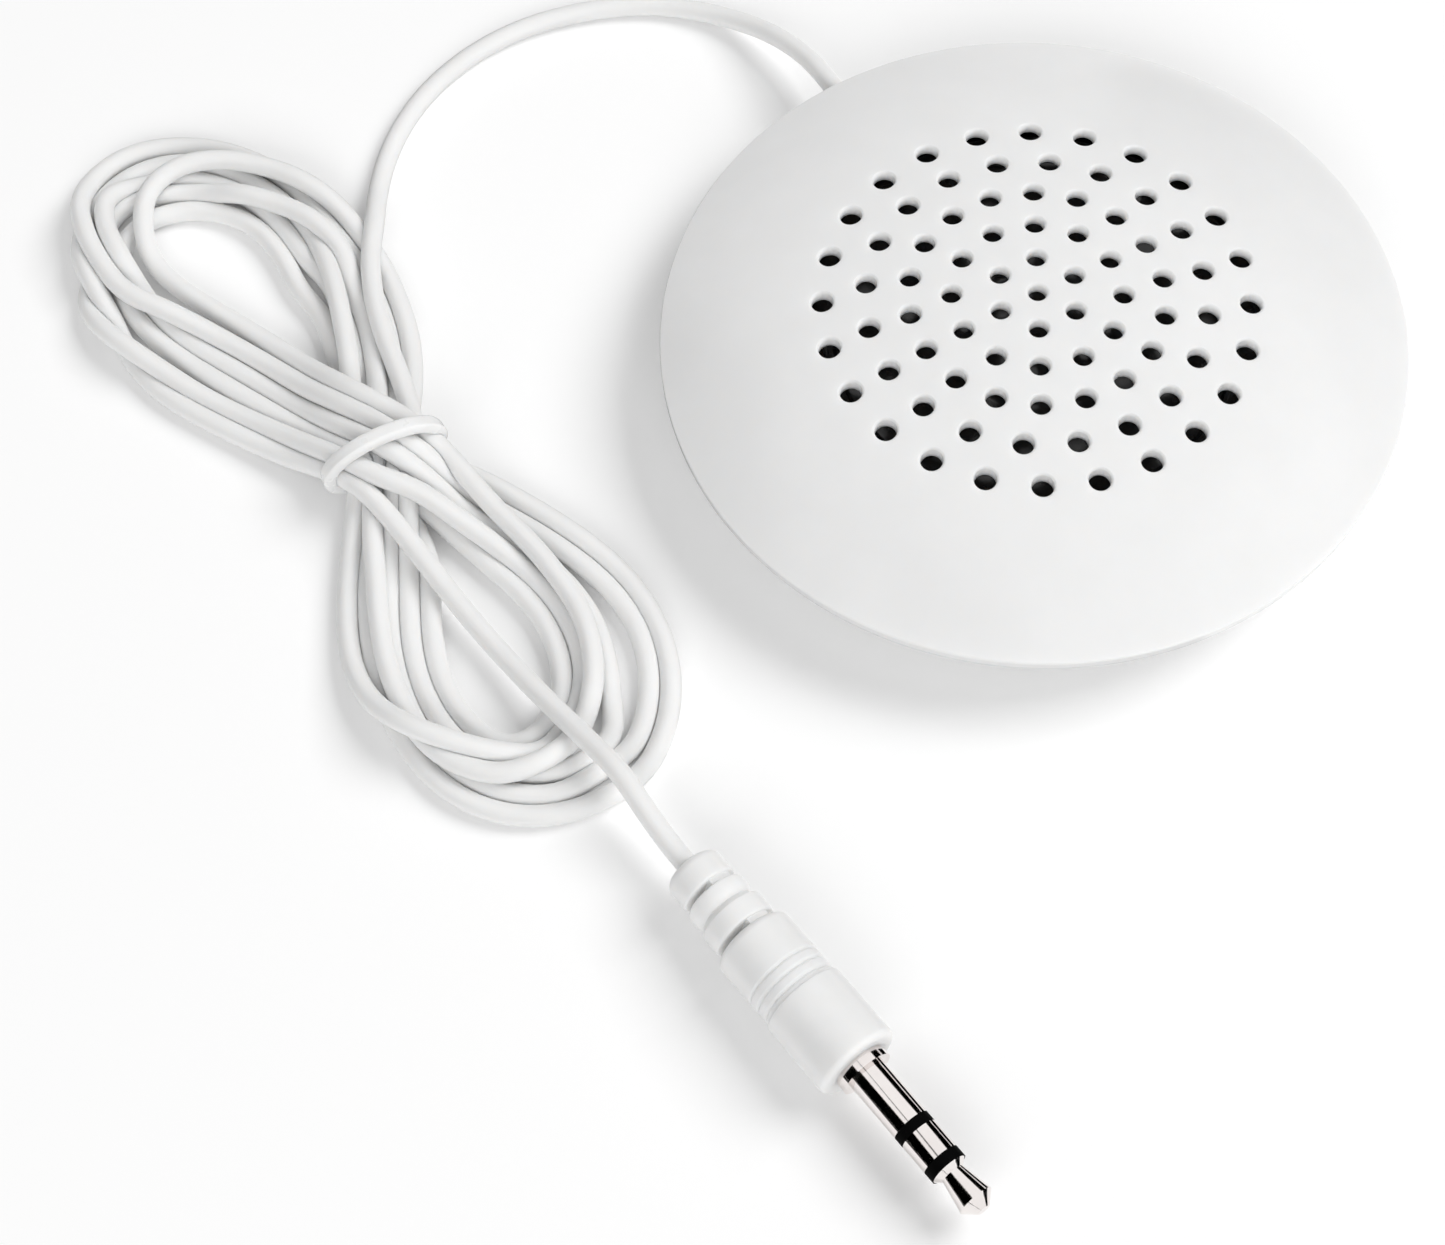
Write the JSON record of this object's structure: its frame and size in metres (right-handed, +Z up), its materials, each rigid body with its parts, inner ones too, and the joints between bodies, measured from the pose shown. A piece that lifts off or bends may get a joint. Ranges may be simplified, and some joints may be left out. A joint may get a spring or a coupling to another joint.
{
  "type": "pillow speaker",
  "caption": "Thin white disc-shaped loudspeaker for use under a pillow, with a perforated dome, a slim cord wound into a tied hank and a stereo jack plug.",
  "frame": {"origin": "centre of the flat underside of the disc-shaped case, on the surface that the case, hank and plug lie on", "axes": "+Z up through the perforated dome; +Y away from the viewer of the picture; the plug points towards +X and -Y"},
  "size_m": [0.1279, 0.1315, 0.0144],
  "materials": {
    "white_case": "gloss",
    "black_film": "gloss",
    "black_basket": "matte",
    "plated_steel": "satin",
    "magnet_nickel": "satin",
    "black_gasket": "matte",
    "copper_coil": "satin",
    "vent_cloth": "matte",
    "grey_foam": "matte",
    "board": "matte",
    "solder": "satin",
    "core_red": "satin",
    "core_black": "satin",
    "nylon": "satin",
    "white_cord": "satin",
    "tie_coating": "satin",
    "white_moulding": "satin",
    "inner_mould": "satin",
    "plug_nickel": "polished",
    "black_band": "satin"
  },
  "bodies": {
    "root": {"top_shell": "white_case", "bottom_shell": "white_case", "diaphragm": "black_film", "driver_basket": "black_basket", "yoke_cup": "plated_steel", "pole_plate": "plated_steel", "magnet": "magnet_nickel", "gasket": "black_gasket", "voice_coil": "copper_coil", "vent_cloth": "vent_cloth", "foam_pad": "grey_foam", "terminal_board": "board", "solder_joints": "solder", "wire_signal": "core_red", "wire_return": "core_black", "inner_tie": "nylon", "cord_lead": "white_cord", "cord_hank": "white_cord", "cord_tail": "white_cord", "cable_tie": "tie_coating", "plug_moulding": "white_moulding", "plug_inner_mould": "inner_mould", "plug_sleeve": "plug_nickel", "plug_ring": "plug_nickel", "plug_tip": "plug_nickel", "plug_insulator_rear": "black_band", "plug_insulator_front": "black_band"}
  },
  "joints": []
}
